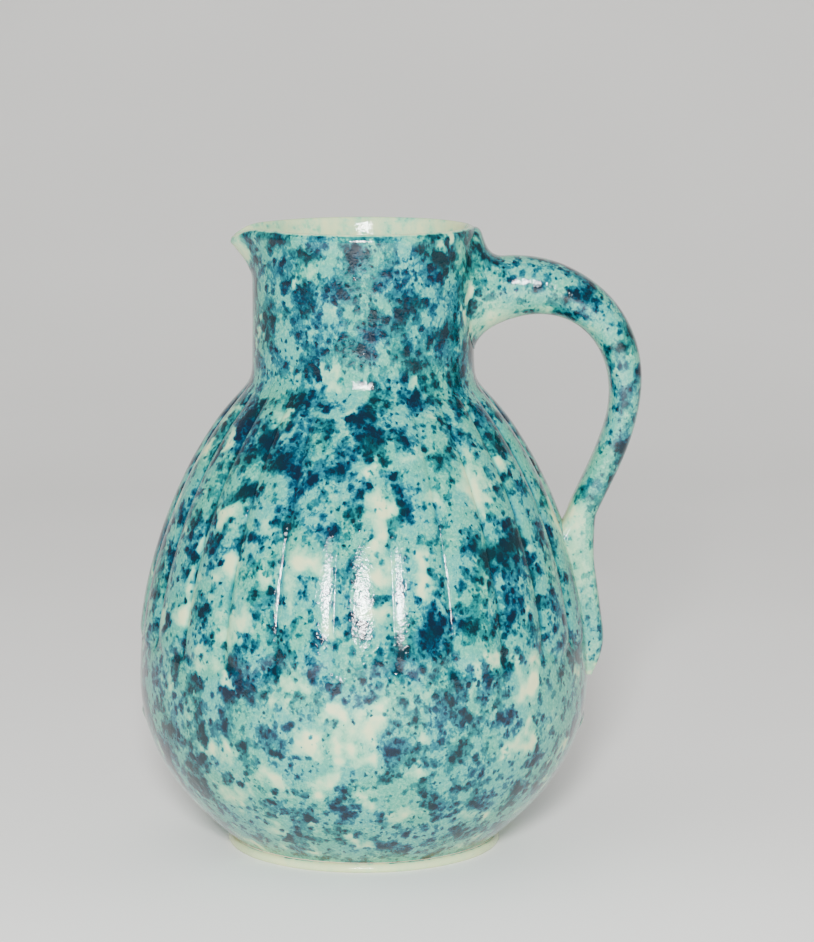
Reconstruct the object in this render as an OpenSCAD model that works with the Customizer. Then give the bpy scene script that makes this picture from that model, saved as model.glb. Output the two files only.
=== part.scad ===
// Ribbed stoneware pitcher with a pinched spout and an ear handle.
// Millimetres, +Z up, origin on the axis at the plane the foot rests on.
// The handle points to +X and the spout to -X.

/* [Body] */
// Overall height, to the top of the rim
pitcher_h = 220; // [214:1:228]
// Radius of the belly at its widest
belly_r = 79.8; // [77:0.1:82]
// Height of the belly's widest level
belly_z = 60; // [56:1:63]
// Radius of the neck
neck_r = 39.3; // [38.5:0.1:40.5]
// Height of the corner where the shoulder meets the neck
neck_z = 166; // [162:1:168]
// Radius of the foot's lower edge
foot_r = 48.3; // [46.5:0.1:50]
// Height of the foot ring
foot_h = 3.2; // [2.6:0.1:4]
// Thickness of the clay wall
wall = 4.7; // [4:0.1:5]

/* [Ribs] */
// Number of moulded ribs around the belly
rib_count = 24; // [18:2:30]
// Height of a rib's crest over its groove
rib_h = 1.4; // [0.6:0.1:1.8]

/* [Spout] */
// How far the spout's nose stands out from the neck
spout_reach = 7; // [5:0.5:9]
// How far the spout runs down the neck
spout_drop = 21; // [16:1:26]
// Half the width of the spout at the rim
spout_half_w = 15; // [12:0.5:18]
// How far the spout's nose dips under the rim
spout_dip = 3; // [0:0.5:4]

/* [Handle] */
// Thickness of the strap where it leaves the root
strap_root_t = 22; // [19:0.5:23]
// Thickness of the strap at its outermost point
strap_side_t = 12.7; // [11:0.1:14]
// Thickness of the strap where it reaches the belly
strap_low_t = 10.6; // [9:0.1:12]
// Width of the strap across, as a share of its thickness
strap_flatness = 1.4; // [1.1:0.05:1.6]

/* [Hidden] */

glaze = [0.36, 0.60, 0.63];
pale_glaze = [0.80, 0.84, 0.74];
bare_clay = [0.78, 0.72, 0.60];

// Foot: width of the ring's resting face and swell of its edge
foot_face_w = 6;
foot_swell = 0.5;
// Top of the floor inside
floor_z = foot_h + wall + 0.3;
recess_r = foot_r - foot_face_w;
// Rim: height, swell over the neck and rounding of the lip
lip_h = 5;
lip_swell = 0.6;
lip_round = 1.3;
lip_z = pitcher_h - lip_h;
lip_outline = [
    [neck_r, lip_z], [neck_r + lip_swell, lip_z + lip_round],
    [neck_r + lip_swell, pitcher_h - lip_round], [neck_r - lip_swell, pitcher_h]
];
// Ribs: height where they end and length of their rounded ends
rib_end_z = belly_z + 15;
rib_round = 5;
rib_fade = 9;
// Steps: around one rib, along the belly curves, around and along the handle
rib_steps = 4;
lower_steps = 14;
upper_steps = 13;
side_steps = 18;
root_steps = 8;
arch_steps = 12;
drop_steps = 9;
tail_steps = 12;
round_fn = 96;

// Belly outline as radius and height: foot to widest level, then widest level to neck
bowl_outer = [[foot_r - 0.8, foot_h], [64, 17], [belly_r, belly_z - 26], [belly_r, belly_z]];
bowl_inner = [[recess_r + 2, floor_z], [60, 17], [belly_r - wall, belly_z - 26], [belly_r - wall, belly_z]];
shoulder_outer = [[belly_r, belly_z], [belly_r, belly_z + 35], [neck_r + 27.2, neck_z - 29], [neck_r, neck_z]];
shoulder_inner = [for (p = shoulder_outer) [p[0] - wall, p[1]]];

// Handle: width of the strap at the root
strap_root_w = strap_root_t * 1.1;
// Handle centre line as distance from the axis and height, in four runs
neck_side = [34, 196.8];
strap_start = [52, 198.5];
strap_side = [92.2, 163];
tail_start = [78, 120.5];
tail_end = [82, 61];
root_run = [neck_side, [40, 196.8], [46, 197.6], strap_start];
arch_run = [strap_start, [73, 201.5], [92.4, 187], strap_side];
drop_run = [strap_side, [92.2, 147], [82.5, 131], tail_start];
tail_run = [tail_start, [72.8, 109], [82.5, 88], tail_end];

// Point and direction on a cubic curve
function bez(p, t) =
    pow(1 - t, 3) * p[0] + 3 * pow(1 - t, 2) * t * p[1] + 3 * (1 - t) * t * t * p[2] + pow(t, 3) * p[3];
function bez_dir(p, t) =
    pow(1 - t, 2) * (p[1] - p[0]) + 2 * (1 - t) * t * (p[2] - p[1]) + t * t * (p[3] - p[2]);
function curve(p, n) = [for (i = [0:n]) bez(p, i / n)];
function reversed(list) = [for (i = [len(list) - 1:-1:0]) list[i]];
function clamp01(x) = max(0, min(1, x));
function blend(a, b, t) = a + (b - a) * t;

// Rib relief: share of full height at a level, and over the rib from groove to groove
function rib_level(z) =
    sqrt(1 - pow(1 - clamp01((z - rib_end_z) / rib_round), 2)) * clamp01((neck_z - z) / rib_fade);
function rib_arch(u) = sqrt(1 - pow(abs(2 * u - 1), 2.2));
function ribbed_r(r, z, u) = r + rib_level(z) * rib_h * (rib_arch(u) - 0.5);

// One level of the belly wall: the points around it, from groove to groove
function belly_ring(p, relief) = [
    for (k = [0:rib_count - 1]) for (s = [0:rib_steps - 1])
        let (
            u = s / rib_steps,
            a = (k - 0.5 + u) * 360 / rib_count,
            r = relief ? ribbed_r(p[0], p[1], u) : p[0]
        )
        [r * cos(a), r * sin(a), p[1]]
];

// One oval section of the handle, across the centre line at t
function oval(run, t, thick, wide) =
    let (c = bez(run, t), d = bez_dir(run, t), n = [-d[1], d[0]] / norm(d))
    [for (j = [0:side_steps - 1])
        let (a = 360 * j / side_steps, h = thick / 2 * cos(a))
        [c[0] + n[0] * h, wide / 2 * sin(a), c[1] + n[1] * h]];

// Triangles between n-point rings stacked m high
function skin_faces(n, m) = [
    for (i = [0:m - 2]) for (j = [0:n - 1])
        let (a = i * n + j, b = i * n + (j + 1) % n)
        each [[a, a + n, b], [b, a + n, b + n]]
];

// Solid through a stack of rings, closed at both ends
module skin(rings) {
    n = len(rings[0]);
    m = len(rings);
    polyhedron(
        points = [for (r = rings) each r],
        faces = concat(
            skin_faces(n, m),
            [[for (j = [0:n - 1]) j]],
            [[for (j = [n - 1:-1:0]) (m - 1) * n + j]]
        )
    );
}

// Levels of the shoulder curve, with one at the widest level below the ribs' ends
shoulder_levels = concat([0, 0.07], [for (i = [0:upper_steps]) 0.14 + 0.86 * i / upper_steps]);

module belly_outside() {
    skin([for (t = shoulder_levels) belly_ring(bez(shoulder_outer, t), true)]);
}

module belly_inside() {
    top = bez(shoulder_inner, 1);
    skin(concat(
        [belly_ring([belly_r - wall, belly_z - 1], false)],
        [for (t = shoulder_levels) belly_ring(bez(shoulder_inner, t), false)],
        [belly_ring([top[0], neck_z + 1], false)]
    ));
}

// The spout's outside, or its trough when set in by the wall
module spout_form(inset, over) {
    nose_r = 2.4;
    nose_x = neck_r + spout_reach - nose_r - inset;
    hull() {
        translate([-nose_x, 0, pitcher_h - nose_r - spout_dip])
            sphere(r = nose_r, $fn = 24);
        if (over > 0)
            translate([-nose_x, 0, pitcher_h - nose_r])
                cylinder(r = nose_r * 0.8, h = nose_r + over, $fn = 24);
        for (side = [-1, 1])
            translate([-neck_r + 4, side * (spout_half_w - inset), pitcher_h - 7])
                cylinder(r = 1.5, h = 7 + over, $fn = 24);
        translate([-neck_r + 2 + inset, 0, pitcher_h - spout_drop])
            sphere(r = 1.5, $fn = 16);
    }
}

module spout_trough() {
    spout_form(wall * 0.75, 1);
}

module foot_ring() {
    color(bare_clay)
        rotate_extrude($fn = round_fn)
            polygon([
                [recess_r, 0], [foot_r, 0], [foot_r + foot_swell, 0.9],
                [foot_r - 0.8, foot_h], [recess_r, foot_h]
            ]);
}

module base_floor() {
    color(pale_glaze)
        translate([0, 0, foot_h])
            cylinder(r = recess_r + 2, h = floor_z - foot_h, $fn = round_fn);
}

module lower_bowl() {
    color(glaze)
        rotate_extrude($fn = round_fn)
            polygon(concat(
                [[recess_r + 2, foot_h]],
                curve(bowl_outer, lower_steps),
                reversed(curve(bowl_inner, lower_steps))
            ));
}

module ribbed_belly() {
    color(glaze)
        difference() {
            belly_outside();
            belly_inside();
        }
}

module neck_wall() {
    color(glaze)
        difference() {
            translate([0, 0, neck_z])
                cylinder(r = neck_r, h = lip_z - neck_z, $fn = round_fn);
            translate([0, 0, neck_z - 1])
                cylinder(r = neck_r - wall, h = lip_z - neck_z + 2, $fn = round_fn);
            spout_trough();
        }
}

module rim_lip() {
    color(pale_glaze)
        difference() {
            rotate_extrude($fn = round_fn)
                polygon(concat(
                    [[neck_r - wall, lip_z]],
                    lip_outline,
                    [[neck_r - wall + lip_round, pitcher_h], [neck_r - wall, pitcher_h - lip_round]]
                ));
            spout_trough();
        }
}

// The neck and rim filled solid, to trim what is joined to them
module neck_blank() {
    rotate_extrude($fn = round_fn)
        polygon(concat(
            [[0, neck_z], [neck_r, neck_z]],
            lip_outline,
            [[neck_r - lip_swell, pitcher_h + wall], [0, pitcher_h + wall]]
        ));
}

module pouring_spout() {
    color(pale_glaze)
        difference() {
            spout_form(0, 0);
            spout_trough();
            neck_blank();
        }
}

// The root flares from the strap's section to a pad on the neck, up to the rim
module handle_root() {
    pad_flare = 17;
    pad_share = 0.25;
    color(pale_glaze)
        difference() {
            skin([for (i = [0:root_steps])
                let (t = i / root_steps, flare = pad_flare * pow(clamp01((1 - t) / (1 - pad_share)), 3))
                oval(root_run, t, strap_root_t + flare, strap_root_w + flare * 0.6)]);
            neck_blank();
        }
}

module handle_strap() {
    color(glaze)
        skin(concat(
            [for (i = [0:arch_steps])
                let (t = i / arch_steps, ease = sqrt(t) * (2 - sqrt(t)))
                oval(arch_run, t,
                    blend(strap_root_t, strap_side_t, ease),
                    blend(strap_root_w, strap_side_t * strap_flatness, ease))],
            [for (i = [1:drop_steps])
                let (thick = blend(strap_side_t, strap_low_t, i / drop_steps))
                oval(drop_run, i / drop_steps, thick, thick * strap_flatness)]
        ));
}

// The tail thins out along the belly and is pressed home over its ribs
module handle_tail() {
    tip_t = 3;
    tip_w = 9;
    color(pale_glaze)
        difference() {
            skin([for (i = [0:tail_steps])
                let (t = i / tail_steps, pinch = pow(t, 5))
                oval(tail_run, t,
                    blend(strap_low_t, tip_t, pinch),
                    blend(strap_low_t * strap_flatness, tip_w, pinch))]);
            belly_outside();
        }
}

foot_ring();
base_floor();
lower_bowl();
ribbed_belly();
neck_wall();
rim_lip();
pouring_spout();
handle_root();
handle_strap();
handle_tail();
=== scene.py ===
"""Ribbed spongeware pitcher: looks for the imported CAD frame.

Metres, +Z up. The handle points to +X, the spout to -X, and the camera looks along +Y.
"""

import math

import bpy
import numpy as np
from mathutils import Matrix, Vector, noise


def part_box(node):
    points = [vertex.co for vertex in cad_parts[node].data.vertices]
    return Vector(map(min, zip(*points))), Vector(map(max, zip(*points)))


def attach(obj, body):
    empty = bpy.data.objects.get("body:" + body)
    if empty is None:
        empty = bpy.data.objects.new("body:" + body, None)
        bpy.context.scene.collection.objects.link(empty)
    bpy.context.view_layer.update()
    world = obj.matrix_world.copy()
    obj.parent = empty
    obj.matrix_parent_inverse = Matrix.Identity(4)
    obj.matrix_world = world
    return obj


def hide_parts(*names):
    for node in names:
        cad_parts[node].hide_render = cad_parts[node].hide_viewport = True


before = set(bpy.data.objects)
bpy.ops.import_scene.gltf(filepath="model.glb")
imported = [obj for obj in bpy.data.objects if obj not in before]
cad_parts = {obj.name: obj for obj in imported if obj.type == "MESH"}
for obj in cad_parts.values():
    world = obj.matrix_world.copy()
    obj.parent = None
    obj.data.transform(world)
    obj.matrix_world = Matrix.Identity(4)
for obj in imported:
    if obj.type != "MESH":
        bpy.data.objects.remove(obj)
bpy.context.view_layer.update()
MM = 0.001

# ---------------------------------------------------------------- sizes, from the frame
FOOT_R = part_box("foot_ring")[1].y
FOOT_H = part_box("foot_ring")[1].z
BELLY_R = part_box("lower_bowl")[1].y
BELLY_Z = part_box("lower_bowl")[1].z
NECK_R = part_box("neck_wall")[1].y
NECK_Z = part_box("neck_wall")[0].z
LIP_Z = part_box("rim_lip")[0].z
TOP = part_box("rim_lip")[1].z
NOSE_X = -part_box("pouring_spout")[0].x
HANDLE_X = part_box("handle_strap")[1].x
WALL = 4.7 * MM
LIP_WALL = 3.4 * MM
FOOT_FACE = 6 * MM
FLOOR_TOP = FOOT_H + 5 * MM

# Ribs: how many, their height, where their rounded ends lie and how they fade into the neck
RIBS = 24
RIB_H = 1.75 * MM
RIB_END_Z = BELLY_Z + 15 * MM
RIB_ROUND = 4 * MM
RIB_FADE = 16 * MM
RIB_POWER = 2.4
GROOVE = 0.6 * MM
GROOVE_SPREAD = 0.085
# The relief is softened towards the front, by this share and over this angle
FRONT_WEAR = 0.85
FRONT_SPREAD = math.radians(42)
# Where the points lie across one rib, from groove to groove
RIB_STEPS = (0, 0.025, 0.06, 0.12, 0.20, 0.30, 0.40, 0.5, 0.60, 0.70, 0.80, 0.88, 0.94, 0.975)

# Two knobs of glaze low on the belly, whose pale colour is a painted highlight: azimuth in degrees, height,
# size and rise in millimetres
KNOBS = ((182, 47, 2.4, 0.9), (357, 43.5, 2.8, 1.1))

# Belly outline as radius and height, foot to widest level and widest level to neck
BOWL_OUTER = ((FOOT_R - 1.3 * MM, FOOT_H), (0.064, 0.017), (BELLY_R, BELLY_Z - 0.026), (BELLY_R, BELLY_Z))
BOWL_INNER = ((FOOT_R - FOOT_FACE + 1.5 * MM, FLOOR_TOP), (0.060, 0.017),
              (BELLY_R - WALL, BELLY_Z - 0.026), (BELLY_R - WALL, BELLY_Z))
SHOULDER = ((BELLY_R, BELLY_Z), (BELLY_R, BELLY_Z + 0.035),
            (NECK_R + 0.0272, NECK_Z - 0.029), (NECK_R, NECK_Z))

# Rows along each run of the wall
BOWL_ROWS, SHOULDER_ROWS, NECK_ROWS, LIP_ROWS, FLOOR_ROWS = 30, 96, 44, 8, 9

# Spout: reach past the neck, heights where the pinch starts and is full, how it grows, roundness of the nose,
# dip under the rim, and the angles on either side of the nose that it takes up
SPOUT_REACH = NOSE_X - NECK_R + 0.1 * MM
SPOUT_FOOT = 0.196
SPOUT_FULL = 0.2172
SPOUT_POWER = 2.4
SPOUT_NOSE = math.radians(6)
SPOUT_DIP = 3.1 * MM
SPOUT_HALF = math.radians(44)
SPOUT_SECTOR = math.radians(37.6)
# Heights between which the dip grows, and angles over which the nose and its pale cheeks fade
DIP_FROM, DIP_FULL = 0.202, 0.2165
NOSE_SPREAD = math.radians(11)
CHEEK_SPREAD = math.radians(15)

# Handle centre line as distance from the axis and height
STRAP_START = (0.052, 0.1985)
STRAP_SIDE = (0.0922, 0.163)
TAIL_START = (0.078, 0.1205)
TAIL_END = (0.0806, 0.0603)
ARCH_RUN = (STRAP_START, (0.073, 0.2015), (0.0924, 0.187), STRAP_SIDE)
DROP_RUN = (STRAP_SIDE, (0.0922, 0.147), (0.0825, 0.131), TAIL_START)
TAIL_RUN = (TAIL_START, (0.0728, 0.109), (0.0825, 0.088), TAIL_END)
# Thickness and width of the strap and the tail in millimetres, at shares of their length
STRAP_THICK = ((0, 22), (0.10, 19.6), (0.22, 16.6), (0.36, 14.2),
               (0.50, 12.6), (0.66, 10.7), (0.80, 10.6), (1, 10.6))
STRAP_WIDE = ((0, 22), (0.12, 22.2), (0.3, 21.4), (0.5, 19), (0.7, 16.5), (1, 15))
TAIL_THICK = ((0, 10.6), (0.2, 10.8), (0.45, 8.6), (0.7, 8.4), (0.87, 8.4), (0.95, 4.8), (1, 1.4))
TAIL_WIDE = ((0, 15), (0.3, 15.6), (0.7, 15.6), (0.9, 13.5), (1, 7))
SIDE_STEPS = 64
ARCH_STEPS = 46
ROOT_STEPS = 24
# The pad that joins the root to the neck: lower and upper ends and half its width
PAD_LOW = 0.1765
PAD_HIGH = TOP - 0.6 * MM
PAD_HALF = 0.0156

# Camera, fitted to the photograph: place, tilt down and turn in degrees, focal length and sensor width in
# millimetres
EYE = (0.0, -1.2, 0.322)
EYE_TILT = 8.95
EYE_TURN = -0.733
FOCAL = 131.35032
SENSOR = 36.0

# Studio lights: name, place, width and height, watts, and whether the glaze mirrors them
LIGHTS = (
    ("key_left", (-0.75, -0.35, 1.7), (1.6, 1.6), 8, False),
    ("fill_right", (1.5, -0.5, 0.9), (1.4, 1.2), 4, False),
    ("back_soft", (0.5, 1.4, 1.5), (1.4, 1.4), 7, False),
    ("streak_front", (-0.04, -1.25, 0.50), (0.14, 0.28), 40, True),
)
LIGHT_AIM = (0, 0, 0.11)
WORLD_COLOUR = (1.0, 1.0, 0.985, 1.0)
WORLD_STRENGTH = 0.39


# ---------------------------------------------------------------- small helpers
def bezier(points, t):
    """Points of a cubic curve at the parameters t."""
    p = np.array(points, float)
    t = np.asarray(t, float)[..., None]
    return (1 - t) ** 3 * p[0] + 3 * (1 - t) ** 2 * t * p[1] + 3 * (1 - t) * t * t * p[2] + t ** 3 * p[3]


def bezier_dir(points, t):
    """Unit directions of a cubic curve at the parameters t."""
    p = np.array(points, float)
    t = np.asarray(t, float)[..., None]
    d = (1 - t) ** 2 * (p[1] - p[0]) + 2 * (1 - t) * t * (p[2] - p[1]) + t * t * (p[3] - p[2])
    return d / np.linalg.norm(d, axis=-1, keepdims=True)


def smoothstep(low, high, x):
    t = np.clip((np.asarray(x, float) - low) / (high - low), 0, 1)
    return t * t * (3 - 2 * t)


def table(pairs, t):
    """Smooth value from a short list of (place, value) pairs."""
    x, y = zip(*pairs)
    slopes = np.gradient(y, x)
    i = np.clip(np.searchsorted(x, t, side="right") - 1, 0, len(x) - 2)
    x, y = np.array(x, float), np.array(y, float)
    h = x[i + 1] - x[i]
    u = (t - x[i]) / h
    return ((2 * u**3 - 3 * u**2 + 1) * y[i] + (u**3 - 2 * u**2 + u) * h * slopes[i]
            + (3 * u**2 - 2 * u**3) * y[i + 1] + (u**3 - u**2) * h * slopes[i + 1])


def wobble(points, size, seed):
    """Hand-made unevenness: smooth noise from -1 to 1 at each point, about size metres across."""
    flat = points.reshape(-1, 3) / size + seed * 17.3
    return np.array([noise.noise(Vector(p)) for p in flat]).reshape(points.shape[:-1])


# ---------------------------------------------------------------- the wall, as two matched grids
def angles():
    """Angles round the axis: RIB_STEPS in each rib, crests at multiples of a rib's width."""
    u = np.array(RIB_STEPS)
    turn = (np.arange(RIBS)[:, None] - 0.5 + u[None, :]).ravel()
    return turn * 2 * math.pi / RIBS, np.tile(u, RIBS)


def from_spout(theta):
    """Angle away from the middle of the spout, on either side."""
    return np.abs((theta + 2 * math.pi) % (2 * math.pi) - math.pi)


def softened(outline, row, reach, passes):
    """Rounds the corner of an outline near a row."""
    out = outline.copy()
    for _ in range(passes):
        mid = out.copy()
        mid[1:-1] = (out[:-2] + 2 * out[1:-1] + out[2:]) / 4
        span = slice(row - reach, row + reach + 1)
        out[span] = mid[span]
    return out


def wall_outlines():
    """Outer and inner outlines of the wall, row by row, from the foot to the crest of the lip."""
    bowl_t = np.linspace(0, 1, BOWL_ROWS, endpoint=False)
    shoulder_t = np.linspace(0, 1, SHOULDER_ROWS, endpoint=False)
    shoulder = bezier(SHOULDER, shoulder_t)
    along = bezier_dir(SHOULDER, shoulder_t)
    shoulder_in = shoulder + np.stack([-along[:, 1], along[:, 0]], 1) * WALL
    raised = (shoulder_in[:, 1] - shoulder[:, 1]) * smoothstep(0, 0.25, shoulder_t)
    shoulder_in[:, 1] = shoulder[:, 1] + raised * (1 - smoothstep(0.8, 1, shoulder_t))
    neck_z = np.r_[np.linspace(NECK_Z, LIP_Z, NECK_ROWS, endpoint=False), LIP_Z, LIP_Z + 1 * MM]
    rise = (neck_z - NECK_Z) / (TOP - NECK_Z)
    neck = np.stack([NECK_R - 0.25 * MM * np.sin(rise * math.pi) + 0.3 * MM * rise ** 6, neck_z], 1)
    thin = WALL + (LIP_WALL - WALL) * smoothstep(0.35, 1, rise)
    neck_in = np.stack([neck[:, 0] - thin, neck_z], 1)
    # The lip: two quarter rounds that meet at its crest
    turn = np.linspace(0, math.pi / 2, LIP_ROWS + 1)
    lip_foot = LIP_Z + 2 * MM
    crest_r = NECK_R + 0.3 * MM - LIP_WALL * 0.55
    half_out = NECK_R + 0.3 * MM - crest_r
    half_in = LIP_WALL - half_out
    high = TOP - 0.1 * MM - lip_foot
    lip = np.stack([crest_r + half_out * np.cos(turn), lip_foot + high * np.sin(turn)], 1)
    lip_in = np.stack([crest_r - half_in * np.cos(turn), lip_foot + high * np.sin(turn)], 1)
    outer = np.vstack([bezier(BOWL_OUTER, bowl_t), shoulder, neck, lip])
    inner = np.vstack([bezier(BOWL_INNER, bowl_t), shoulder_in, neck_in, lip_in])
    corner = BOWL_ROWS + SHOULDER_ROWS
    return softened(outer, corner, 6, 14), softened(inner, corner, 9, 30)


def rib_relief(z, theta, u):
    """Height of the ribs' relief and depth of the groove, both as shares.

    Rows lie at z, columns at the angles theta, and u is a column's place across its rib.
    """
    rounded = np.sqrt(1 - (1 - np.clip((z - RIB_END_Z) / RIB_ROUND, 0, 1)) ** 2)
    level = rounded * smoothstep(0, 1, np.clip((NECK_Z - z) / RIB_FADE, 0, 1)) ** 0.6
    across = np.abs(2 * u - 1)
    from_front = (theta + 1.5 * math.pi) % (2 * math.pi) - math.pi
    worn = 1 - FRONT_WEAR * np.exp(-(from_front / FRONT_SPREAD) ** 2)
    arch = 1 - across ** RIB_POWER
    # Near its end each rib narrows to a round tip
    tip = np.clip((z - RIB_END_Z) / (2.2 * RIB_ROUND), 0, 1)[:, None]
    narrowed = np.sqrt(np.clip(1 - (1 - tip) ** 2, 0, 1))
    narrow_arch = np.clip(1 - (across[None, :] / np.maximum(narrowed, 0.05)) ** RIB_POWER, 0, 1)
    arch = np.where(tip < 1, narrow_arch, arch[None, :])
    channel = np.exp(-((1 - across) / GROOVE_SPREAD) ** 2)[None, :] * level[:, None] * worn[None, :]
    return level[:, None] * (arch - 0.45) * (0.5 + 0.5 * worn[None, :]), channel


def spout_radius(base, reach, phi):
    """Plan of the pinched spout: straight cheeks that meet the round neck and a rounded nose."""
    corner = np.arccos(base / (base + reach)) + SPOUT_NOSE * smoothstep(0, 1 * MM, reach)
    lean = np.maximum(corner - np.sqrt(phi ** 2 + SPOUT_NOSE ** 2), 0)
    return base / np.cos(lean)


def knob_rise(points):
    """Rise in millimetres of the glaze knobs at each point."""
    total = np.zeros(points.shape[:-1])
    for azimuth, height, size, rise in KNOBS:
        a, z = math.radians(azimuth), height * MM
        r = np.interp(z, *wall_outlines()[0][:, ::-1].T)
        gap = np.linalg.norm(points - np.array([r * math.cos(a), r * math.sin(a), z]), axis=-1)
        total += rise * np.exp(-(gap / (size * MM)) ** 4)
    return total


def wall_grids():
    """Outer and inner grids of points [row, angle, xyz], with the groove depth of the outer one."""
    outer_rz, inner_rz = wall_outlines()
    theta, u = angles()
    phi = from_spout(theta)
    grids = []
    relief, channel = rib_relief(outer_rz[:, 1], theta, u)
    for side, rz in enumerate((outer_rz, inner_rz)):
        r = np.repeat(rz[:, :1], len(theta), 1)
        z = np.repeat(rz[:, 1:], len(theta), 1)
        if side == 0:
            r = r + relief * RIB_H - channel * GROOVE
        reach = SPOUT_REACH * np.clip((z - SPOUT_FOOT) / (SPOUT_FULL - SPOUT_FOOT), 0, 1) ** SPOUT_POWER
        reach = reach + side * 0.6 * MM * smoothstep(0.2 * MM, 2 * MM, reach)
        flare = spout_radius(r, reach, phi[None, :])
        r = np.where((reach > 0) & (phi[None, :] < SPOUT_HALF), flare, r)
        nose = np.exp(-(phi[None, :] / NOSE_SPREAD) ** 2)
        z = z - SPOUT_DIP * nose * smoothstep(DIP_FROM, DIP_FULL, z)
        points = np.stack([r * np.cos(theta), r * np.sin(theta), z], -1)
        away = np.stack([np.cos(theta), np.sin(theta), 0 * theta], -1)[None]
        if side == 0:
            points = points + away * (knob_rise(points) * MM)[..., None]
        # Unevenness pushes in only, so the wall keeps inside its CAD box
        uneven = 0.28 * MM * wobble(points, 0.045, 1 + side) + 0.07 * MM * wobble(points, 0.011, 3 + side)
        calm = 1 - smoothstep(TOP - 6 * MM, TOP - 2 * MM, z) * 0.6
        points = points + away * ((uneven - 0.22 * MM) * calm)[..., None]
        grids.append(points)
    # Both sides share the crest of the lip
    crest = (grids[0][-1] + grids[1][-1]) / 2
    crest[:, 2] += 0.12 * MM * wobble(crest, 0.02, 6) - 0.05 * MM
    grids[0][-1] = grids[1][-1] = crest
    return grids[0], grids[1], channel


def skin_normals(outer, inner):
    """Unit normals of both skins of the wall, weighted by the cells' areas; the crest row is shared."""
    result = []
    for grid, way in ((outer, 1), (inner, -1)):
        right = np.roll(grid, -1, 1)
        cell = way * np.cross(right[1:] - grid[:-1], grid[1:] - right[:-1])
        total = np.zeros_like(grid)
        total[:-1] += cell + np.roll(cell, 1, 1)
        total[1:] += cell + np.roll(cell, 1, 1)
        result.append(total)
    crest = result[0][-1] + result[1][-1]
    result[0][-1] = result[1][-1] = crest
    return [n / np.maximum(np.linalg.norm(n, axis=-1, keepdims=True), 1e-12) for n in result]


def grid_normals(rows):
    """Unit normals of a closed-round grid [row, angle, xyz], outward where rows climb the outside."""
    down = np.gradient(rows, axis=0)
    around = np.roll(rows, -1, 1) - np.roll(rows, 1, 1)
    n = np.cross(around, down)
    return n / np.maximum(np.linalg.norm(n, axis=-1, keepdims=True), 1e-12)


# ---------------------------------------------------------------- meshes
class Shell:
    """Collects points, faces and corner normals for one closed piece."""

    def __init__(self):
        self.points, self.normals, self.zones, self.faces, self.flat = [], [], [], [], []

    def add(self, points, normals, zones):
        """Adds points and returns the number of the first."""
        first = len(self.points)
        self.points.extend(points)
        self.normals.extend(normals)
        self.zones.extend(zones)
        return first

    def face(self, corners, flat=False):
        self.faces.append(tuple(corners))
        self.flat.append(flat)

    def build(self, name, material, nodes):
        mesh = bpy.data.meshes.new(name)
        mesh.from_pydata([tuple(p) for p in self.points], [], self.faces)
        mesh.polygons.foreach_set("use_smooth", [True] * len(self.faces))
        colour = mesh.attributes.new("zones", "FLOAT_COLOR", "POINT")
        colour.data.foreach_set("color", np.array(self.zones, float).ravel())
        corner_normals = []
        for polygon, flat in zip(mesh.polygons, self.flat):
            for v in polygon.vertices:
                corner_normals.append(tuple(polygon.normal) if flat else tuple(self.normals[v]))
        mesh.normals_split_custom_set(corner_normals)
        mesh.materials.append(material)
        piece = bpy.data.objects.new(name, mesh)
        bpy.context.scene.collection.objects.link(piece)
        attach(piece, "root")
        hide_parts(*nodes)
        return piece


def cells_piece(name, cells, wall, material, nodes):
    """A closed piece from the marked cells of the wall: both skins, and cut faces where the marks end."""
    outer, inner, outer_n, inner_n, outer_z, inner_z = wall
    rows, around = outer.shape[:2]
    shell = Shell()
    number = {}

    def corner(side, j, i):
        i %= around
        key = (0 if j == rows - 1 else side, j, i)
        if key not in number:
            grid, normal, zone = (outer, outer_n, outer_z) if key[0] == 0 else (inner, inner_n, inner_z)
            number[key] = shell.add([grid[j, i]], [normal[j, i]], [zone[j, i]])
        return number[key]

    for j, i in zip(*np.nonzero(cells)):
        a, b = (j, i), (j, i + 1)
        c, d = (j + 1, i + 1), (j + 1, i)
        shell.face([corner(0, *p) for p in (a, b, c, d)])
        shell.face([corner(1, *p) for p in (d, c, b, a)])
        edges = (((j - 1, i), a, b), ((j, i + 1), b, c), ((j + 1, i), c, d), ((j, i - 1), d, a))
        for (nj, ni), p, q in edges:
            top = nj >= rows - 1
            if top or (nj >= 0 and cells[nj, ni % around]):
                continue
            ring = [corner(0, *q), corner(0, *p), corner(1, *p), corner(1, *q)]
            ring = [v for k, v in enumerate(ring) if v not in ring[:k]]
            shell.face(ring, flat=True)
    return shell.build(name, material, nodes)


def rings_piece(name, rings, material, nodes, creases=()):
    """A closed piece lofted through rings of points; a ring of one point closes an end.

    creases lists the bands between rings that are shaded flat.
    """
    shell = Shell()
    starts = []
    full = [r for r in rings if len(r) > 1]
    stack = np.array(full)
    normals = grid_normals(stack)
    k = 0
    for ring in rings:
        if len(ring) == 1:
            normal = normals[0].mean(0) if k == 0 else normals[-1].mean(0)
            normal = normal / max(np.linalg.norm(normal), 1e-9)
            starts.append((shell.add([ring[0]], [normal], [(0, 0, 0, 0)]), 1))
        else:
            starts.append((shell.add(ring, normals[k], [(0, 0, 0, 0)] * len(ring)), len(ring)))
            k += 1
    for j in range(len(rings) - 1):
        (a, na), (b, nb) = starts[j], starts[j + 1]
        count = max(na, nb)
        flat = j in creases
        for i in range(count):
            n = (i + 1) % count
            if na == 1:
                shell.face([a, b + n, b + i], flat)
            elif nb == 1:
                shell.face([a + i, a + n, b], flat)
            else:
                shell.face([a + i, a + n, b + n, b + i], flat)
    return shell.build(name, material, nodes)
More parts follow.
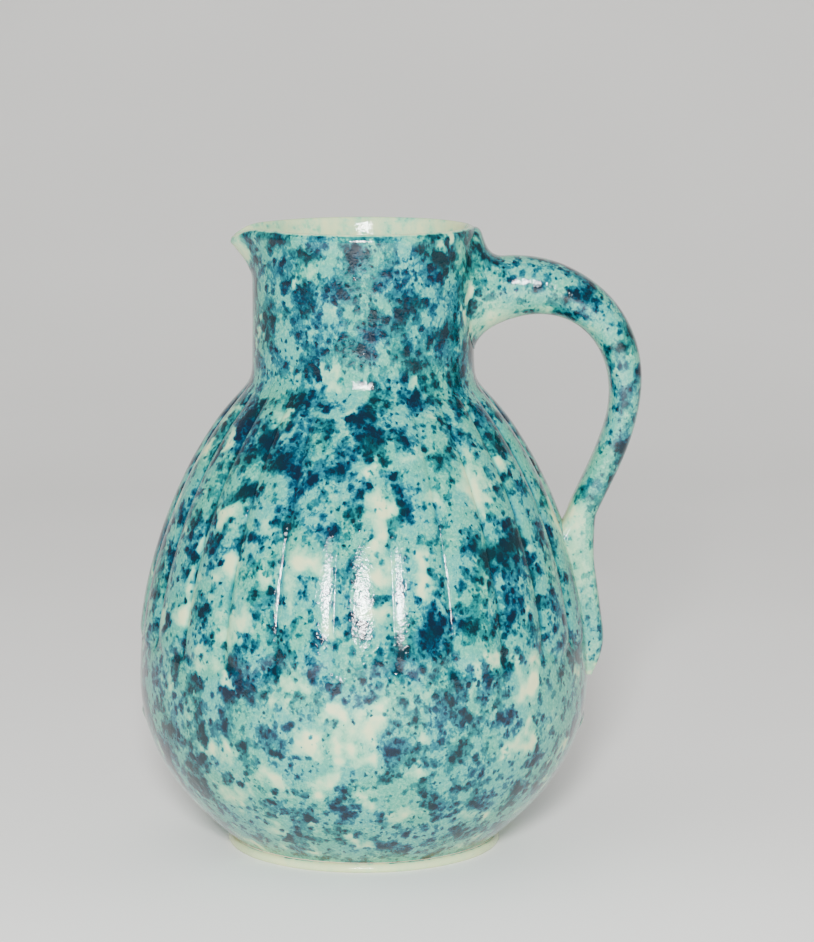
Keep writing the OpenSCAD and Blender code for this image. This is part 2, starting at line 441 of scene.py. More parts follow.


# ---------------------------------------------------------------- glaze density
# Patches of the front, whose places were read off the photograph and worked out: azimuth in degrees
# (270 faces the camera, 0 is the handle), height and size in millimetres, and how much bluer (+) or
# creamier (-) the glaze is there
PATCHES = (
    (292, 186, 12, 1.0), (310, 203, 10, 0.8), (279, 209, 8, 0.7), (253, 208, 9, 0.5), (236, 192, 8, 0.5),
    (266, 171, 11, -0.8), (292, 213, 8, -1.0), (318, 196, 6, -0.5), (237, 144, 16, 0.8), (271, 154, 14, 0.6),
    (312, 106, 18, 0.7), (288, 94, 12, 0.6), (296, 69, 13, 0.5), (253, 108, 15, -0.9), (301, 131, 10, -0.7),
    (279, 110, 13, -0.3), (264, 49, 12, -1.0), (313, 63, 11, -0.8), (231, 102, 13, -0.6), (236, 28, 16, -0.8),
    (212, 41, 18, 0.4), (261, 93, 9, 0.5), (214, 91, 9, -0.5), (208, 108, 12, 0.4), (335, 118, 14, -0.6),
    (248, 211, 6, -0.7),
)
# Patches of the unseen back, placed by chance
BACK_PATCHES = 26
BACK_SEED = 41
# How much bluer the neck is, and how much paler the bottom
NECK_BLUER = 0.16
BOTTOM_PALER = 0.02


def patch_places():
    """Centres, sizes and amounts of all patches, the listed ones first."""
    chance = np.random.default_rng(BACK_SEED)
    rows = list(PATCHES)
    for _ in range(BACK_PATCHES):
        rows.append((chance.uniform(8, 192), chance.uniform(20, 212), chance.uniform(9, 17),
                     chance.choice((-0.8, -0.5, 0.5, 0.8))))
    azimuth, height, size, amount = np.array(rows, float).T
    height, size = height * MM, size * MM
    outline = wall_outlines()[0]
    r = np.interp(height, outline[:, 1], outline[:, 0])
    azimuth = np.radians(azimuth)
    return np.stack([r * np.cos(azimuth), r * np.sin(azimuth), height], 1), size, amount


def density(points):
    """How dense the blue is at each point, 0 to 1."""
    places, sizes, amounts = patch_places()
    flat = points.reshape(-1, 3)
    total = np.zeros(len(flat))
    for place, size, amount in zip(places, sizes, amounts):
        total += amount * np.exp(-((flat - place) ** 2).sum(1) / (size * size))
    upper = NECK_BLUER * smoothstep(NECK_Z - 0.012, NECK_Z + 0.012, flat[:, 2])
    lower = BOTTOM_PALER * (1 - smoothstep(0.012, 0.050, flat[:, 2]))
    return np.clip(0.5 + 0.5 * total + upper - lower, 0, 1).reshape(points.shape[:-1])


# ---------------------------------------------------------------- bowl, belly, neck, spout and lip
def build_wall(glaze, rim_glaze):
    outer, inner, channel = wall_grids()
    outer_n, inner_n = skin_normals(outer, inner)
    theta, _ = angles()
    phi = from_spout(theta)
    rows = len(outer)
    height = outer[..., 2]
    # Zones: density of the blue, depth of the groove, bareness of the glaze, which on the knobs is a painted
    # highlight, and the veil, which is 0 here
    nose = np.exp(-(phi[None, :] / NOSE_SPREAD) ** 2)
    crest = smoothstep(TOP - 1.3 * MM, TOP - 0.2 * MM, height + SPOUT_DIP * nose)
    cheeks = np.exp(-(phi[None, :] / CHEEK_SPREAD) ** 4)
    tip = cheeks * smoothstep(TOP - 19 * MM, TOP - 8 * MM, height)
    # Painted highlight: the knobs are painted bare and pale where glints show low on the belly
    knob_highlight = np.clip(knob_rise(outer), 0, 1)
    bare = np.clip(crest * 0.75 + tip * 0.75 + knob_highlight, 0, 0.95)
    outer_zones = np.stack([density(outer), np.clip(channel, 0, 1), bare, 0 * bare], -1)
    near_lip = smoothstep(0.195, 0.218, inner[..., 2])
    inner_zones = np.stack([0.28 + 0.1 * near_lip, 0 * near_lip, 0.60 + 0.10 * near_lip, 0 * near_lip], -1)
    wall = (outer, inner, outer_n, inner_n, outer_zones, inner_zones)
    row = np.arange(rows)[:, None]
    sector = np.broadcast_to(phi[None, :] < SPOUT_SECTOR, (rows, len(theta)))
    sector = sector & np.roll(sector, -1, 1)
    lip_row = BOWL_ROWS + SHOULDER_ROWS + NECK_ROWS
    spout_row = int(np.searchsorted(wall_outlines()[0][:lip_row, 1], SPOUT_FOOT))
    in_rows = row < rows - 1
    bowl = in_rows & (row < BOWL_ROWS) & np.ones_like(sector)
    belly = (row >= BOWL_ROWS) & (row < BOWL_ROWS + SHOULDER_ROWS) & np.ones_like(sector)
    spout = in_rows & (row >= spout_row) & sector
    neck = (row >= BOWL_ROWS + SHOULDER_ROWS) & (row < lip_row) & ~spout
    lip = in_rows & (row >= lip_row) & ~spout
    cells_piece("lower_bowl_skin", bowl, wall, glaze, ["lower_bowl"])
    cells_piece("ribbed_belly_skin", belly, wall, glaze, ["ribbed_belly"])
    cells_piece("neck_skin", neck, wall, glaze, ["neck_wall"])
    cells_piece("spout_skin", spout, wall, glaze, ["pouring_spout"])
    cells_piece("lip_skin", lip, wall, rim_glaze, ["rim_lip"])


# ---------------------------------------------------------------- foot and floor
def round_ring(r, z, wave=0.0):
    theta, _ = angles()
    r = r + wave
    z = z + np.zeros_like(theta)
    return np.stack([r * np.cos(theta), r * np.sin(theta), z], 1)


def build_foot(material):
    theta, _ = angles()
    circle = np.stack([np.cos(theta), np.sin(theta), 0 * theta], 1) * FOOT_R
    wave = 0.28 * MM * wobble(circle, 0.016, 11) + 0.10 * MM * wobble(circle, 0.005, 12)
    lift = 0.22 * MM * wobble(circle, 0.02, 13)
    inside = FOOT_R - 0.5 * MM - FOOT_FACE
    edge = FOOT_R - 0.35 * MM
    # Radius, height and share of the hand-made unevenness, round the ring's section
    section = (
        (inside + 0.4 * MM, 0.0, 0), (edge - 1.2 * MM, 0.0, 0.3), (edge - 0.5 * MM, 0.0, 0.8),
        (edge - 0.1 * MM, 0.3 * MM, 1), (edge + 0.15 * MM, 0.9 * MM, 1), (edge + 0.1 * MM, 1.6 * MM, 1),
        (edge - 0.25 * MM, 2.2 * MM, 1), (edge - 0.8 * MM, 2.65 * MM, 0.9), (edge - 1.5 * MM, 2.8 * MM, 0.5),
        (edge - 2.2 * MM, FOOT_H, 0), (inside, FOOT_H, 0), (inside, 0.4 * MM, 0),
    )
    rings = [round_ring(r, z + (lift * share if 0.25 * MM < z < FOOT_H else 0), wave * share)
             for r, z, share in section]
    rings.append(rings[0])
    shell = Shell()
    closed = np.array(rings[:-1])
    around = np.roll(closed, -1, 1) - np.roll(closed, 1, 1)
    along = np.roll(closed, -1, 0) - np.roll(closed, 1, 0)
    n = np.cross(around, along)
    n /= np.linalg.norm(n, axis=-1, keepdims=True)
    count, levels = len(theta), len(closed)
    for j in range(levels):
        edge_zone = 0.86 * smoothstep(0, 1, section[j][2])
        shell.add(closed[j], n[j], [(0.4, 0.0, edge_zone, 0.5)] * count)
    flat_rows = (0, levels - 3, levels - 2, levels - 1)
    for j in range(levels):
        k = (j + 1) % levels
        for i in range(count):
            m = (i + 1) % count
            shell.face([j * count + i, j * count + m, k * count + m, k * count + i], j in flat_rows)
    shell.build("foot_skin", material, ["foot_ring"])


def build_floor(material):
    low, high = FOOT_H, FLOOR_TOP
    outer_low, outer_high = BOWL_OUTER[0][0], BOWL_INNER[0][0]
    uneven = 0.12 * MM
    rings = [np.array([[0, 0, low]])]
    for share in np.linspace(0.12, 1, FLOOR_ROWS):
        ring = round_ring(outer_low * share, low)
        ring[:, 2] += uneven * (wobble(ring, 0.02, 15) + 1) * (share < 0.85)
        rings.append(ring)
    for share in np.linspace(1, 0.12, FLOOR_ROWS):
        rings.append(round_ring(outer_high * share, high))
    rings.append(np.array([[0, 0, high]]))
    rings_piece("floor_skin", rings, material, ["base_floor"], creases=(FLOOR_ROWS,))


# ---------------------------------------------------------------- handle
def section_ring(centre, along, out_half, in_half, half_width, power):
    """A superellipse section across the handle: out_half away from the pot, in_half towards it."""
    a = np.linspace(0, 2 * math.pi, SIDE_STEPS, endpoint=False)
    c, s = np.cos(a), np.sin(a)
    outward = np.array([-along[1], 0, along[0]])
    reach = np.where(c > 0, out_half, in_half)
    v = np.sign(c) * np.abs(c) ** (2 / power) * reach
    w = np.sign(s) * np.abs(s) ** (2 / power) * half_width
    return np.array([centre[0], 0, centre[1]]) + v[:, None] * outward + w[:, None] * np.array([0, 1, 0])


def belly_radius(z):
    outline = wall_outlines()[0]
    return np.interp(z, outline[:, 1], outline[:, 0])


def strap_rings():
    """Rings of the strap from its root to the start of the tail."""
    t = np.linspace(0, 1, ARCH_STEPS)
    line = np.vstack([bezier(ARCH_RUN, t), bezier(DROP_RUN, t)[1:]])
    along = np.vstack([bezier_dir(ARCH_RUN, t), bezier_dir(DROP_RUN, t)[1:]])
    steps = np.r_[0, np.cumsum(np.linalg.norm(np.diff(line, axis=0), axis=1))]
    share = steps / steps[-1]
    rings = []
    for centre, way, s in zip(line, along, share):
        half = float(table(STRAP_THICK, np.array(s))) * MM / 2
        wide = float(table(STRAP_WIDE, np.array(s))) * MM / 2
        rings.append(section_ring(centre, way, half, half, wide, 2.2 + 0.5 * s))
    return rings


def tail_rings():
    """Rings of the tail, pressed into the belly and flattened to a point at its end."""
    t = np.r_[np.linspace(0, 0.8, 26, endpoint=False), np.linspace(0.8, 1, 14)]
    line, along = bezier(TAIL_RUN, t), bezier_dir(TAIL_RUN, t)
    rings = []
    for centre, way, s in zip(line, along, t):
        out_half = float(table(TAIL_THICK, np.array(s))) * MM / 2
        in_half = out_half + 3.2 * MM * smoothstep(0.06, 0.3, s)
        wide = float(table(TAIL_WIDE, np.array(s))) * MM / 2
        power = 2.7 + 0.9 * smoothstep(0, 0.3, s)
        ring = section_ring(centre, way, out_half - 0.05 * MM, in_half, wide, power)
        surface = belly_radius(ring[:, 2])
        height = np.hypot(ring[:, 0], ring[:, 1]) - surface
        # A raised burr runs along the edge that was scraped down on to the belly
        burr = 0.8 * MM * np.exp(-((height - 1.0 * MM) / (0.7 * MM)) ** 2)
        fillet = 1.3 * MM * np.exp(-np.clip(height + 0.2 * MM, 0, None) / (0.3 * MM))
        ring[:, 1] += np.sign(ring[:, 1]) * (burr + fillet) * smoothstep(0.1, 0.25, s)
        rings.append(ring)
    return rings


def root_rings(first):
    """Rings that flare from the pad on the neck into the strap's first section."""
    a = np.linspace(0, 2 * math.pi, SIDE_STEPS, endpoint=False)
    up, side = np.cos(a), np.sin(a)
    pad_z = (PAD_LOW + PAD_HIGH) / 2 + (PAD_HIGH - PAD_LOW) / 2 * np.sign(up) * np.abs(up) ** 0.85
    pad_y = PAD_HALF * np.sign(side) * np.abs(side) ** 0.85
    pad_x = np.sqrt(NECK_R ** 2 - pad_y ** 2)
    away = np.stack([pad_x, pad_y, 0 * pad_y], 1) / NECK_R
    pad = np.stack([pad_x, pad_y, pad_z], 1)
    top, bottom = np.clip(up, 0, 1)[:, None] ** 2, np.clip(-up, 0, 1)[:, None] ** 2
    strap_y, strap_z = first[:, 1], first[:, 2]
    inward = np.stack([pad_y * pad_y / NECK_R, -pad_y * pad_x / NECK_R, 0 * pad_y], 1) / PAD_HALF
    shoulder = pad + away * (0.3 * MM + 3.7 * MM * top) + np.array([0, 0, 3.2 * MM]) * bottom
    shoulder = shoulder + inward * 3.4 * MM
    lean = 0.16 - 0.32 * top[:, 0] + 0.10 * bottom[:, 0]
    stand = (2.6 - 1.0 * up) * MM
    control = np.stack([np.sqrt(NECK_R ** 2 - strap_y ** 2) + stand, strap_y + 0.2 * (pad_y - strap_y),
                        strap_z + lean * (pad_z - strap_z)], 1)
    start = pad - away * 0.12 * MM
    rings = [pad - away * 2.2 * MM]
    for t in np.linspace(0, 1, ROOT_STEPS):
        rings.append((1 - t) ** 3 * start + 3 * (1 - t) ** 2 * t * shoulder
                     + 3 * (1 - t) * t * t * control + t ** 3 * first)
    return rings


def build_handle(glaze):
    strap, tail = strap_rings(), tail_rings()
    root = root_rings(strap[0])
    line = np.array(root[:-1] + strap[:-1] + tail)
    uneven = 0.20 * MM * wobble(line, 0.03, 21) + 0.07 * MM * wobble(line, 0.01, 22)
    normals = ring_normals(line)
    line = line + normals * uneven[..., None]
    line[..., 0] = np.minimum(line[..., 0], HANDLE_X - 0.05 * MM)
    normals = ring_normals(line)
    # The root's edge takes the neck's own direction, so that its glaze flows on to the neck
    neck_way = line * np.array([1, 1, 0]) / np.linalg.norm(line[..., :2], axis=-1)[..., None]
    share = np.clip(1 - np.arange(len(line)) / 6, 0, 1)[:, None, None] * (line[..., 2:] < TOP - 5 * MM)
    normals = normals * (1 - share) + neck_way * share
    normals /= np.linalg.norm(normals, axis=-1, keepdims=True)
    zones = handle_zones(line)
    first, second = len(root) - 1, len(root) + len(strap) - 2
    for name, span, node in (("handle_root_skin", (0, first), "handle_root"),
                             ("handle_strap_skin", (first, second), "handle_strap"),
                             ("handle_tail_skin", (second, len(line) - 1), "handle_tail")):
        tube_piece(name, line, normals, zones, span, glaze, [node])


def handle_zones(line):
    """Zones of the handle's glaze: paler inside the loop, under the root and along the tail."""
    x, z = line[..., 0], line[..., 2]
    outward = np.cos(np.linspace(0, 2 * math.pi, SIDE_STEPS, endpoint=False))[None, :]
    dense = 0.57 + 0.16 * outward + 0.22 * wobble(line, 0.014, 31)
    near = np.exp(-((np.hypot(x, line[..., 1]) - NECK_R) / 0.004) ** 2)
    dense = dense + near * (density(line) - dense)
    tail = 1 - smoothstep(0.100, 0.128, z)
    patch = np.exp(-((z - 0.080) / 0.007) ** 2)
    root_cream = np.exp(-(((x - 0.045) / 0.006) ** 2 + ((z - 0.190) / 0.007) ** 2))
    root_blue = np.exp(-(((x - 0.043) / 0.006) ** 2 + ((z - 0.204) / 0.006) ** 2))
    dense = np.clip(dense - 0.46 * tail + 0.35 * patch * tail - 0.6 * root_cream + 0.4 * root_blue, 0, 1)
    crotch = np.exp(-((z - 0.118) / 0.007) ** 2) * (x < 0.078)
    inner = np.clip(-outward - 0.45, 0, 1) * (1 - tail)
    bare = np.clip(0.44 * tail * (1 - patch) + 0.5 * crotch + 0.5 * root_cream + 0.7 * inner, 0, 0.9)
    veil = (1 - near) * np.ones_like(dense)
    return np.stack([dense, 0 * dense, bare, veil], -1)


def ring_normals(rings):
    """Unit normals of a tube of rings, pointing outward."""
    around = np.roll(rings, -1, 1) - np.roll(rings, 1, 1)
    along = np.gradient(rings, axis=0)
    n = np.cross(along, around)
    n /= np.maximum(np.linalg.norm(n, axis=-1, keepdims=True), 1e-12)
    out = rings - rings.mean(1, keepdims=True)
    return n * np.sign((n * out).sum(-1).mean(-1))[:, None, None]


def tube_piece(name, rings, normals, zones, span, material, nodes):
    """A closed piece from a span of rings, capped flat at both ends."""
    first, last = span
    shell = Shell()
    count = rings.shape[1]
    for j in range(first, last + 1):
        shell.add(rings[j], normals[j], zones[j])
    a, b = rings[first], rings[first + 1]
    outward = np.cross(a[1] - a[0], b[0] - a[0]) @ (a[0] - a.mean(0)) > 0
    for j in range(last - first):
        for i in range(count):
            m = (i + 1) % count
            quad = [j * count + i, j * count + m, (j + 1) * count + m, (j + 1) * count + i]
            shell.face(quad if outward else quad[::-1])
    low = list(range(count))
    high = [(last - first) * count + i for i in range(count)]
    shell.face(low[::-1] if outward else low, flat=True)
    shell.face(high if outward else high[::-1], flat=True)
    return shell.build(name, material, nodes)


# ---------------------------------------------------------------- materials
class Tree:
    """A short way to write a material's node tree."""

    def __init__(self, name):
        self.material = bpy.data.materials.new(name)
        self.material.use_nodes = True
        self.nodes = self.material.node_tree.nodes
        self.links = self.material.node_tree.links
        self.nodes.clear()

    def add(self, kind, settings=None, **inputs):
        node = self.nodes.new(kind)
        for key, value in (settings or {}).items():
            setattr(node, key, value)
        for key, value in inputs.items():
            self.put(node.inputs[key.replace("_", " ")], value)
        return node

    def put(self, socket, value):
        if isinstance(value, bpy.types.NodeSocket):
            self.links.new(value, socket)
        else:
            socket.default_value = value

    def math(self, operation, a, b=0.0, c=0.0):
        node = self.nodes.new("ShaderNodeMath")
        node.operation = operation
        for socket, value in zip(node.inputs, (a, b, c)):
            self.put(socket, value)
        return node.outputs[0]

    def ramp(self, value, low, high, to_low=0.0, to_high=1.0):
        """Smooth step of value from low to high."""
        node = self.nodes.new("ShaderNodeMapRange")
        node.interpolation_type = "SMOOTHSTEP"
        for socket, v in zip(node.inputs, (value, low, high, to_low, to_high)):
            self.put(socket, v)
        return node.outputs[0]

    def mix(self, share, a, b):
        node = self.nodes.new("ShaderNodeMix")
        node.data_type = "RGBA"
        self.put(node.inputs[0], share)
        self.put(node.inputs[6], a)
        self.put(node.inputs[7], b)
        return node.outputs[2]

    def noise(self, where, size, detail=2.0, roughness=0.5):
        """A noise node whose features are about size millimetres."""
        return self.add("ShaderNodeTexNoise", Vector=where, Scale=1 / size, Detail=detail,
                        Roughness=roughness)

    def moved(self, where, source, amount):
        """Coordinates shifted by a noise colour, amount millimetres either way."""
        centred = self.nodes.new("ShaderNodeVectorMath")
        centred.operation = "SUBTRACT"
        self.put(centred.inputs[0], source)
        centred.inputs[1].default_value = (0.5, 0.5, 0.5)
        scaled = self.nodes.new("ShaderNodeVectorMath")
        scaled.operation = "MULTIPLY_ADD"
        self.put(scaled.inputs[0], centred.outputs[0])
        scaled.inputs[1].default_value = (2 * amount, 2 * amount, 2 * amount)
        self.put(scaled.inputs[2], where)
        return scaled.outputs[0]

    def shift(self, where, offset):
        node = self.nodes.new("ShaderNodeVectorMath")
        node.operation = "ADD"
        self.put(node.inputs[0], where)
        node.inputs[1].default_value = (offset, offset * 0.7, offset * 1.3)
        return node.outputs[0]

    def output(self, shader):
        out = self.nodes.new("ShaderNodeOutputMaterial")
        self.links.new(shader.outputs[0], out.inputs[0])
        return self.material


def srgb(r, g, b):
    """Linear colour from an 8-bit sRGB one."""
    parts = [c / 255 for c in (r, g, b)]
    return (*[c / 12.92 if c <= 0.04045 else ((c + 0.055) / 1.055) ** 2.4 for c in parts], 1.0)


# The glaze's colours, from the bare ground to the specks where the blue lies thickest
BODY_STOPS = ((0.0, srgb(196, 208, 158)), (0.10, srgb(138, 194, 158)), (0.24, srgb(70, 154, 138)),
              (0.42, srgb(18, 104, 108)), (0.64, srgb(0, 56, 70)), (0.92, srgb(0, 26, 38)))
HANDLE_STOPS = ((0.0, srgb(196, 206, 160)), (0.11, srgb(136, 190, 156)), (0.26, srgb(70, 150, 134)),
                (0.45, srgb(18, 100, 102)), (0.66, srgb(0, 56, 68)), (0.94, srgb(0, 26, 36)))


def millimetres(tree, run=0.85):
    """Object coordinates in millimetres, stretched a little upright as glaze runs."""
    place = tree.add("ShaderNodeTexCoord").outputs["Object"]
    node = tree.add("ShaderNodeMapping")
    node.inputs["Scale"].default_value = (1000, 1000, 1000 * run)
    tree.put(node.inputs["Vector"], place)
    return node.outputs[0]


def zone_parts(tree):
    """Density, groove depth, bareness, and veil, where a thin even blue takes the place of thick dabs."""
    attribute = tree.add("ShaderNodeAttribute", {"attribute_name": "zones"})
    split = tree.add("ShaderNodeSeparateColor", Color=attribute.outputs["Color"])
    return split.outputs[0], split.outputs[1], split.outputs[2], attribute.outputs["Alpha"]


def dots(tree, where, spacing, radius, amount):
    """Soft round specks of uneven size, spacing and radius in millimetres; amount 0 to 1 says how many."""
    cells = tree.add("ShaderNodeTexVoronoi", Vector=where, Scale=1 / spacing, Randomness=1.0)
    chance = tree.add("ShaderNodeSeparateColor", Color=cells.outputs["Color"])
    edge = tree.math("MULTIPLY_ADD", chance.outputs[1], 0.6 * radius / spacing, 0.55 * radius / spacing)
    gap = tree.math("DIVIDE", cells.outputs["Distance"], edge)
    present = tree.ramp(tree.math("ADD", chance.outputs[0], amount), 0.98, 1.04)
    return tree.math("MULTIPLY", tree.ramp(gap, 0.35, 1.4, 1.0, 0.0), present)


def lobes(tree, where, spacing, low, high):
    """Rounded soft blobs about spacing millimetres apart: 1 in each middle and 0 between them."""
    cells = tree.add("ShaderNodeTexVoronoi", {"feature": "SMOOTH_F1"}, Vector=where, Scale=1 / spacing,
                     Smoothness=0.35, Randomness=1.0)
    return tree.ramp(cells.outputs["Distance"], low, high, 1.0, 0.0)


def sponge_glaze(name, offset, stops, lean=0.0):
    """Sponged glaze: a blue network with voids, rounded dabs, navy specks, pooled grooves and bare edges."""
    tree = Tree(name)
    mm = tree.shift(millimetres(tree), offset)
    dense, groove, bare, veil = zone_parts(tree)
    broad = tree.moved(mm, tree.noise(mm, 10, 1).outputs["Color"], 2.6)
    lacy = tree.moved(mm, tree.noise(mm, 1.5, 2, 0.6).outputs["Color"], 0.95)
    voids = tree.noise(broad, 10.5, 2.4, 0.5).outputs[0]
    clump = tree.noise(tree.shift(broad, 47.0), 9.0, 2.6, 0.5).outputs[0]
    fine = tree.noise(lacy, 0.9, 2.0, 0.6).outputs[0]
    # Share of blue on the ground, 0 in a void and 1 in the network
    painted = tree.math("MULTIPLY_ADD", dense, 0.34, lean - 0.130)
    small, large = lobes(tree, lacy, 1.8, 0.1, 0.6), lobes(tree, lacy, 3.8, 0.12, 0.62)
    lobe = tree.math("MULTIPLY_ADD", small, 0.5, large)
    frayed = tree.math("MULTIPLY_ADD", lobe, 0.07, tree.math("ADD", voids, -0.045))
    cover = tree.ramp(tree.math("ADD", frayed, tree.math("MULTIPLY_ADD", veil, 0.10, painted)), 0.33, 0.49)
    # How thick the blue lies within the network: lobed dabs, their darker cores and fine mottling
    thick = tree.math("MULTIPLY_ADD", lobe, 0.42, tree.math("MULTIPLY_ADD", clump, 3.0, -1.72))
    thick = tree.math("MULTIPLY_ADD", fine, 0.50, tree.math("MULTIPLY_ADD", painted, 2.1, thick))
    thick = tree.math("MULTIPLY_ADD", veil, -0.12, thick)
    dab = tree.math("MULTIPLY", tree.ramp(thick, -0.04, 0.42), 0.27)
    core = tree.math("MULTIPLY_ADD", tree.ramp(thick, 0.36, 0.95), 0.40, dab)
    mottle = tree.math("MULTIPLY_ADD", fine, 0.38, tree.math("MULTIPLY_ADD", lobe, 0.10, -0.01))
    network = tree.math("MULTIPLY", cover, tree.math("ADD", core, mottle))
    # A turquoise wash spreads past the network before the ground shows
    wash = tree.math("MULTIPLY_ADD", dense, 0.20, tree.math("ADD", voids, lean - 0.08))
    haze = tree.math("MULTIPLY", tree.ramp(wash, 0.27, 0.47), tree.math("MULTIPLY_ADD", fine, 0.36, 0.075))
    value = tree.math("MAXIMUM", network, haze)
    many = tree.math("MULTIPLY_ADD", cover, 0.34, tree.math("MULTIPLY_ADD", clump, 0.9, -0.40))
    specks = tree.math("MAXIMUM", dots(tree, lacy, 3.0, 1.1, many),
                       dots(tree, tree.shift(lacy, 19.0), 1.8, 0.62, many))
    value = tree.math("MULTIPLY_ADD", specks, tree.ramp(value, 0.0, 0.6, 0.46, 0.40), value)
    pool = tree.math("MULTIPLY", groove, tree.ramp(tree.noise(mm, 7, 2).outputs[0], 0.36, 0.62, 0.10, 0.48))
    value = tree.math("ADD", value, pool)
    # Bare places go pale; on the belly's knobs this paleness is a painted highlight
    edge_noise = tree.noise(mm, 3.5, 3).outputs[0]
    kept = tree.ramp(tree.math("MULTIPLY_ADD", edge_noise, 0.5, bare), 0.40, 1.10, 1.0, 0.06)
    value = tree.math("MULTIPLY", value, kept)
    palette = tree.add("ShaderNodeValToRGB", Fac=value)
    ramp = palette.color_ramp
    ramp.elements[0].color = stops[0][1]
    ramp.elements[-1].position, ramp.elements[-1].color = stops[-1]
    for place, colour in stops[1:-1]:
        ramp.elements.new(place).color = colour
    stain = tree.ramp(tree.noise(mm, 26, 3).outputs[0], 0.40, 0.70, 0.0, 0.30)
    stain = tree.math("MULTIPLY", stain, tree.ramp(value, 0.05, 0.30, 1.0, 0.0))
    # The thick blue leans to navy in some places and to green in others, and the pale wash stays green
    lean_blue = tree.ramp(tree.noise(tree.shift(broad, 71.0), 13, 2).outputs[0], 0.36, 0.64, -0.020, 0.034)
    hue = tree.math("MULTIPLY_ADD", lean_blue, tree.ramp(value, 0.12, 0.50, 0.15, 1.0), 0.491)
    tinted = tree.add("ShaderNodeHueSaturation", Hue=hue, Saturation=1.0, Value=1.0, Fac=1.0,
                      Color=palette.outputs[0])
    colour = tree.mix(stain, tinted.outputs[0], srgb(160, 180, 134))
    peel = tree.noise(mm, 2.2, 2, 0.5).outputs[0]
    grain = tree.noise(mm, 0.7, 2, 0.6).outputs[0]
    height = tree.math("MULTIPLY_ADD", value, 0.4, tree.math("MULTIPLY_ADD", grain, 0.60, peel))
    bump = tree.add("ShaderNodeBump", Strength=0.7, Distance=0.00016, Height=height).outputs[0]
    rough = tree.ramp(tree.noise(mm, 4, 3).outputs[0], 0.3, 0.75, 0.05, 0.11)
    shader = tree.add("ShaderNodeBsdfPrincipled", Base_Color=colour, Roughness=rough, Normal=bump, IOR=1.45)
    return tree.output(shader)


def clay(name, colour, stain, rough_low, rough_high):
    """Bare fired clay: fine grain, iron specks and a soft stain."""
    tree = Tree(name)
    mm = millimetres(tree, 1.0)
    grain = tree.noise(mm, 0.5, 3, 0.6).outputs[0]
    cloud = tree.noise(mm, 9, 3, 0.55).outputs[0]
    tone = tree.mix(tree.ramp(cloud, 0.35, 0.7, 0.0, 0.6), colour, stain)
    speck_at = tree.add("ShaderNodeTexVoronoi", Vector=mm, Scale=1 / 3.0, Randomness=1.0)
    chosen = tree.add("ShaderNodeSeparateColor", Color=speck_at.outputs["Color"])
    speck = tree.math("MULTIPLY", tree.ramp(speck_at.outputs["Distance"], 0.05, 0.11, 1.0, 0.0),
                      tree.ramp(chosen.outputs[0], 0.6, 0.62))
    tone = tree.mix(tree.math("MULTIPLY", speck, 0.7), tone, srgb(92, 66, 42))
    bump = tree.add("ShaderNodeBump", Strength=0.6, Distance=0.00015, Height=grain).outputs[0]
    rough = tree.ramp(grain, 0.3, 0.7, rough_low, rough_high)
    shader = tree.add("ShaderNodeBsdfPrincipled", Base_Color=tone, Roughness=rough, Normal=bump)
    return tree.output(shader)


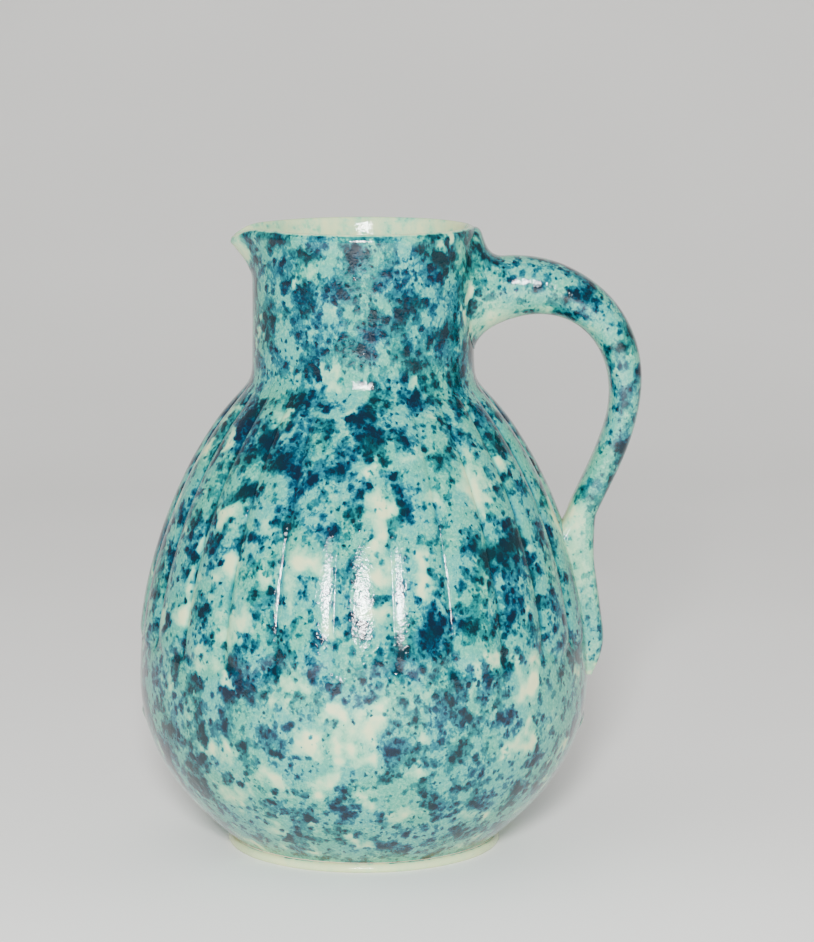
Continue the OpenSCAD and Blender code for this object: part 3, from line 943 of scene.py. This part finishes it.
def plain_floor():
    """A pale floor that curves up into a wall behind the pitcher."""
    width, front, back, high, bend = 6.0, -3.0, 1.8, 3.0, 1.0
    turn = np.linspace(0, math.pi / 2, 24)
    line = [(front, 0.0)] + [(back - bend + bend * math.sin(a), bend - bend * math.cos(a)) for a in turn]
    line.append((back, high))
    points = [(x, y, z) for y, z in line for x in (-width / 2, width / 2)]
    faces = [(2 * k, 2 * k + 1, 2 * k + 3, 2 * k + 2) for k in range(len(line) - 1)]
    mesh = bpy.data.meshes.new("studio_floor")
    mesh.from_pydata(points, [], faces)
    mesh.polygons.foreach_set("use_smooth", [True] * len(faces))
    tree = Tree("studio_floor")
    place = tree.add("ShaderNodeTexCoord").outputs["Object"]
    cloud = tree.add("ShaderNodeTexNoise", Vector=place, Scale=3.0, Detail=2.0).outputs[0]
    tone = tree.mix(tree.ramp(cloud, 0.3, 0.7), srgb(236, 235, 232), srgb(241, 240, 237))
    mesh.materials.append(tree.output(tree.add("ShaderNodeBsdfPrincipled", Base_Color=tone, Roughness=0.75)))
    floor = bpy.data.objects.new("studio_floor", mesh)
    bpy.context.scene.collection.objects.link(floor)


# ---------------------------------------------------------------- light and camera
def area_light(name, place, size, power, glossy):
    light = bpy.data.lights.new(name, "AREA")
    light.shape = "RECTANGLE"
    light.size, light.size_y = size
    light.energy = power
    lamp = bpy.data.objects.new(name, light)
    lamp.location = place
    lamp.visible_glossy = glossy
    lamp.rotation_euler = (Vector(LIGHT_AIM) - Vector(place)).to_track_quat("-Z", "Y").to_euler()
    bpy.context.scene.collection.objects.link(lamp)


def studio():
    world = bpy.data.worlds.new("studio_world")
    bpy.context.scene.world = world
    world.use_nodes = True
    background = world.node_tree.nodes["Background"]
    background.inputs["Color"].default_value = WORLD_COLOUR
    background.inputs["Strength"].default_value = WORLD_STRENGTH
    for light in LIGHTS:
        area_light(*light)


def camera():
    lens = bpy.data.cameras.new("photo_camera")
    lens.sensor_fit = "AUTO"
    lens.sensor_width = SENSOR
    lens.lens = FOCAL
    lens.clip_start = 0.05
    eye = bpy.data.objects.new("photo_camera", lens)
    eye.location = EYE
    eye.rotation_euler = (math.radians(90 - EYE_TILT), 0, math.radians(EYE_TURN))
    bpy.context.scene.collection.objects.link(eye)
    bpy.context.scene.camera = eye


body_glaze = sponge_glaze("sponge_glaze_skin", 0.0, BODY_STOPS)
rim_skin = sponge_glaze("rim_glaze_skin", 0.0, BODY_STOPS)
handle_skin = sponge_glaze("handle_glaze_skin", 0.0, HANDLE_STOPS)
foot_skin = sponge_glaze("foot_clay_skin", 23.0, BODY_STOPS, lean=-0.10)
base_skin = clay("base_clay_skin", srgb(205, 190, 160), srgb(176, 152, 118), 0.65, 0.85)
build_wall(body_glaze, rim_skin)
build_foot(foot_skin)
build_floor(base_skin)
build_handle(handle_skin)
plain_floor()
studio()
camera()
